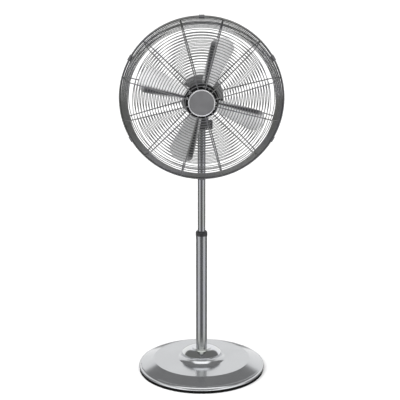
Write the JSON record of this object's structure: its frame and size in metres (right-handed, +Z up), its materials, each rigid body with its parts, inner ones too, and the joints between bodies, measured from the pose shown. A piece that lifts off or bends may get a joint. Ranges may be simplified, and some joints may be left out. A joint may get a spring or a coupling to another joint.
{
  "type": "pedestal fan",
  "caption": "Free-standing metal fan with a round weighted base, a telescopic mast, a tilting and swinging motor head, paddle blades and a concentric wire cage held by snap clips.",
  "frame": {"origin": "on the floor, in the middle of the round base, under the axis of the mast", "axes": "+Z up along the mast, -Y out of the front of the fan, +X to the right of someone facing the fan"},
  "size_m": [0.4499, 0.3706, 1.0622],
  "materials": {
    "silver_enamel": "satin metallic silver enamel",
    "polished_cover": "polished, slightly satin",
    "tube_chrome": "satin chrome plate",
    "guard_plate": "satin nickel grey wire coat",
    "blade_metal": "bright pressed sheet",
    "black_plastic": "fine textured black",
    "black_enamel": "semi-gloss black enamel",
    "clip_grey": "moulded grey plastic",
    "badge_grey": "satin grey enamel",
    "bright_trim": "polished",
    "steel": "plain steel",
    "zinc": "zinc plated",
    "rubber": "moulded rubber",
    "iron": "as cast",
    "copper": "enamelled winding wire",
    "nylon": "natural nylon",
    "die_cast": "die cast, grey"
  },
  "bodies": {
    "stand": {"base_cover": "silver_enamel", "base_edging": "rubber", "base_floor_plate": "steel", "base_weight": "iron", "pole_flange": "iron", "base_screws": "zinc", "base_dome": "polished_cover", "outer_tube": "tube_chrome", "collar_bush": "black_plastic"},
    "height_lock": {"lock_knob": "black_plastic"},
    "mast": {"inner_tube": "tube_chrome", "inner_guide": "nylon", "mast_plug": "die_cast", "tilt_bolt": "black_enamel"},
    "tilt_clamp": {"tilt_knob": "black_plastic"},
    "neck": {"tilt_yoke": "die_cast"},
    "head": {"gear_case": "die_cast", "gear_lid": "steel", "swivel_pin": "steel", "motor_front_shell": "black_enamel", "motor_rear_shell": "black_enamel", "motor_bearings": "steel", "stator_core": "steel", "stator_windings": "copper", "motor_screws": "zinc", "motor_cover": "silver_enamel", "speed_switch": "black_plastic", "cord_gland": "black_plastic", "rear_hub_plate": "guard_plate", "guard_nut": "black_plastic", "badge_backplate": "steel", "badge_disc": "badge_grey", "badge_ring": "bright_trim", "front_rim_wire": "guard_plate", "front_spokes": "guard_plate", "front_face_rings": "guard_plate", "front_side_rings": "guard_plate", "rear_rim_wire": "guard_plate", "rear_spokes": "guard_plate", "rear_face_rings": "guard_plate", "rear_side_rings": "guard_plate"},
    "rotor": {"motor_shaft": "steel", "rotor_core": "steel", "blades": "blade_metal", "blade_hub": "black_enamel", "hub_disc": "black_enamel", "blade_rivets": "bright_trim", "blade_nut": "black_plastic"},
    "worm_wheel": {"worm_wheel": "nylon"},
    "clutch": {"clutch_shaft": "steel"},
    "swing_button": {"swing_knob": "black_plastic"},
    "crank": {"crank_gear": "nylon"},
    "link": {"swing_link": "steel"},
    "speed_control": {"speed_knob": "black_plastic"},
    "clip_1": {"guard_clip_1": "clip_grey"},
    "clip_2": {"guard_clip_2": "clip_grey"},
    "clip_3": {"guard_clip_3": "clip_grey"},
    "clip_4": {"guard_clip_4": "clip_grey"},
    "clip_5": {"guard_clip_5": "clip_grey"},
    "clip_6": {"guard_clip_6": "clip_grey"}
  },
  "joints": [
    {"name": "height", "type": "slide", "parent": "stand", "child": "mast", "axis": [0, 0, 1], "range_m": [-0.285, 0.03]},
    {"name": "height_lock", "type": "hinge", "parent": "stand", "child": "height_lock", "pos_m": [0, 0.03, 0.397], "axis": [0, 1, 0], "range_deg": [0, 360]},
    {"name": "tilt", "type": "hinge", "parent": "mast", "child": "neck", "pos_m": [0, 0, 0.741], "axis": [1, 0, 0], "range_deg": [-25, 15]},
    {"name": "tilt_clamp", "type": "hinge", "parent": "mast", "child": "tilt_clamp", "pos_m": [0.025, 0, 0.741], "axis": [1, 0, 0], "range_deg": [0, 360]},
    {"name": "swing", "type": "hinge", "parent": "neck", "child": "head", "pos_m": [0, 0, 0.79], "axis": [0, 0, 1], "range_deg": [-40, 40]},
    {"name": "spin", "type": "hinge", "parent": "head", "child": "rotor", "pos_m": [0, -0.1, 0.8353], "axis": [0, -1, 0], "continuous": true},
    {"name": "worm_wheel_turn", "type": "hinge", "parent": "head", "child": "worm_wheel", "pos_m": [0.0183, 0.012, 0.8353], "axis": [0, 0, 1], "continuous": true},
    {"name": "clutch_turn", "type": "hinge", "parent": "head", "child": "clutch", "pos_m": [0.0183, 0.012, 0.85], "axis": [0, 0, 1], "range_deg": [-240, 240]},
    {"name": "swing_knob_lift", "type": "slide", "parent": "clutch", "child": "swing_button", "axis": [0, 0, 1], "range_m": [0, 0.006]},
    {"name": "crank_turn", "type": "hinge", "parent": "head", "child": "crank", "pos_m": [0, 0.03, 0.81], "axis": [0, 0, 1], "range_deg": [-60, 60]},
    {"name": "link_turn", "type": "hinge", "parent": "crank", "child": "link", "pos_m": [0.01, 0.03, 0.8005], "axis": [0, 0, 1], "range_deg": [-60, 60]},
    {"name": "speed_select", "type": "hinge", "parent": "head", "child": "speed_control", "pos_m": [0, 0.07, 0.8353], "axis": [0, 1, 0], "range_deg": [0, 135]},
    {"name": "clip_1_open", "type": "hinge", "parent": "head", "child": "clip_1", "pos_m": [0, -0.1085, 1.05755], "axis": [1, 0, 0], "range_deg": [0, 100]},
    {"name": "clip_2_open", "type": "hinge", "parent": "head", "child": "clip_2", "pos_m": [-0.19247, -0.1085, 0.94642], "axis": [0.5, 0, 0.866], "range_deg": [0, 100]},
    {"name": "clip_3_open", "type": "hinge", "parent": "head", "child": "clip_3", "pos_m": [-0.19247, -0.1085, 0.72418], "axis": [-0.5, 0, 0.866], "range_deg": [0, 100]},
    {"name": "clip_4_open", "type": "hinge", "parent": "head", "child": "clip_4", "pos_m": [0, -0.1085, 0.61305], "axis": [-1, 0, 0], "range_deg": [0, 100]},
    {"name": "clip_5_open", "type": "hinge", "parent": "head", "child": "clip_5", "pos_m": [0.19247, -0.1085, 0.72418], "axis": [-0.5, 0, -0.866], "range_deg": [0, 100]},
    {"name": "clip_6_open", "type": "hinge", "parent": "head", "child": "clip_6", "pos_m": [0.19247, -0.1085, 0.94642], "axis": [0.5, 0, -0.866], "range_deg": [0, 100]}
  ],
  "couplings": [
    {"joint": "crank_turn", "follows": "swing", "ratio": -1.5},
    {"joint": "link_turn", "follows": "swing", "ratio": 1.5},
    {"joint": "clutch_turn", "follows": "swing", "ratio": 6},
    {"joint": "worm_wheel_turn", "follows": "spin", "ratio": 0.033333}
  ]
}
